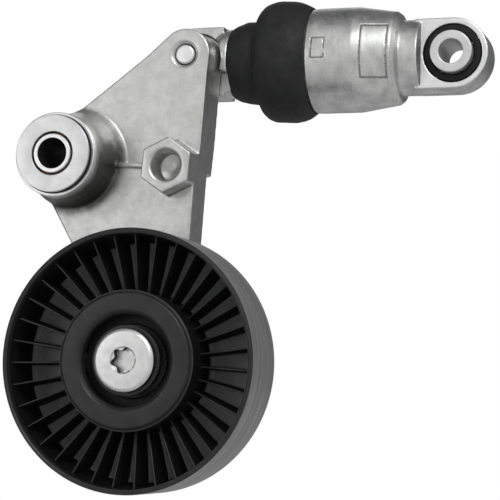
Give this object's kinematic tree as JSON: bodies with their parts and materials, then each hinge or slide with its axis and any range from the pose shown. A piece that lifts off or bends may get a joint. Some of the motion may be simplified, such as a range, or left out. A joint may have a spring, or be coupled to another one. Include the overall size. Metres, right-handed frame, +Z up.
{
  "type": "belt tensioner with idler pulley",
  "caption": "Hydraulic belt tensioner: a cast pivot arm with a ribbed idler pulley on a ball bearing and a pinned telescopic damper with a rubber boot.",
  "frame": {"origin": "on the pivot bolt's axis, in the plane of the pivot sleeve's rear bolting face", "axes": "+Z up, +X to the right and -Y to the front, so that the pivot, the pulley and both damper pins turn about lines along Y"},
  "size_m": [0.1602, 0.0798, 0.1716],
  "materials": {
    "cast_aluminium": "as-cast, fine matte grain",
    "polished_steel": "ground and polished",
    "bearing_steel": "ground bearing steel",
    "zinc_plate": "bright zinc plate",
    "black_oxide": "black oxide, oiled",
    "black_nylon": "moulded, satin",
    "black_rubber": "moulded, matte",
    "sintered_bronze": "sintered, oil filled",
    "cage_nylon": "natural moulded"
  },
  "bodies": {
    "engine_side": {"pivot_sleeve": "polished_steel", "front_thrust_washer": "polished_steel", "rear_thrust_washer": "polished_steel"},
    "arm": {"tensioner_arm": "cast_aluminium", "front_dust_seal": "black_rubber", "rear_dust_seal": "black_rubber", "front_seal_cup": "polished_steel", "front_pivot_bush": "sintered_bronze", "rear_pivot_bush": "sintered_bronze", "clevis_pin": "polished_steel", "bearing_inner_ring": "bearing_steel", "bearing_bush": "black_oxide", "pulley_spacer": "black_oxide", "pulley_bolt": "zinc_plate", "bolt_dust_washer": "black_nylon"},
    "idler_pulley": {"pulley": "black_nylon", "bearing_outer_ring": "bearing_steel", "bearing_front_seal": "black_rubber", "bearing_rear_seal": "black_rubber"},
    "ball_set": {"bearing_cage": "cage_nylon", "bearing_ball_1": "bearing_steel", "bearing_ball_2": "bearing_steel", "bearing_ball_3": "bearing_steel", "bearing_ball_4": "bearing_steel", "bearing_ball_5": "bearing_steel", "bearing_ball_6": "bearing_steel", "bearing_ball_7": "bearing_steel", "bearing_ball_8": "bearing_steel"},
    "damper_rod": {"rod_end": "cast_aluminium", "rod_eye_bush": "sintered_bronze", "piston_rod": "polished_steel", "piston": "bearing_steel", "piston_ring": "cage_nylon"},
    "damper_body": {"damper_housing": "cast_aluminium", "pressure_tube": "bearing_steel", "rod_guide": "sintered_bronze", "rod_seal": "black_rubber", "check_valve_seat": "bearing_steel", "check_valve_ball": "bearing_steel", "check_valve_keeper": "bearing_steel", "eye_rubber_bush": "black_rubber", "rubber_boot": "black_rubber", "damper_spring": "bearing_steel"},
    "eye_mount": {"eye_sleeve": "polished_steel"}
  },
  "joints": [
    {"name": "arm_pivot", "type": "hinge", "parent": "engine_side", "child": "arm", "pos_m": [0, -0.02, 0], "axis": [0, 1, 0], "range_deg": [0, 18]},
    {"name": "pulley_spin", "type": "hinge", "parent": "arm", "child": "idler_pulley", "pos_m": [0.032, -0.0407, -0.0713], "axis": [0, 1, 0], "continuous": true},
    {"name": "ball_set_spin", "type": "hinge", "parent": "arm", "child": "ball_set", "pos_m": [0.032, -0.0407, -0.0713], "axis": [0, 1, 0], "continuous": true},
    {"name": "damper_swing", "type": "hinge", "parent": "arm", "child": "damper_rod", "pos_m": [0.0401, 0.003, 0.0361], "axis": [0, 1, 0], "range_deg": [-28, 4]},
    {"name": "damper_stroke", "type": "slide", "parent": "damper_rod", "child": "damper_body", "axis": [-0.9997, 0, 0.0244], "range_m": [0, 0.01], "stiffness_N_per_m": 4000, "springref_m": -0.015, "deforming": ["damper_spring", "rubber_boot"]},
    {"name": "eye_twist", "type": "hinge", "parent": "damper_body", "child": "eye_mount", "pos_m": [0.13127, 0.003, 0.03387], "axis": [0, 1, 0], "range_deg": [-12, 12], "stiffness_Nm_per_rad": 1.5}
  ],
  "couplings": [
    {"joint": "ball_set_spin", "follows": "pulley_spin", "ratio": 0.618}
  ]
}
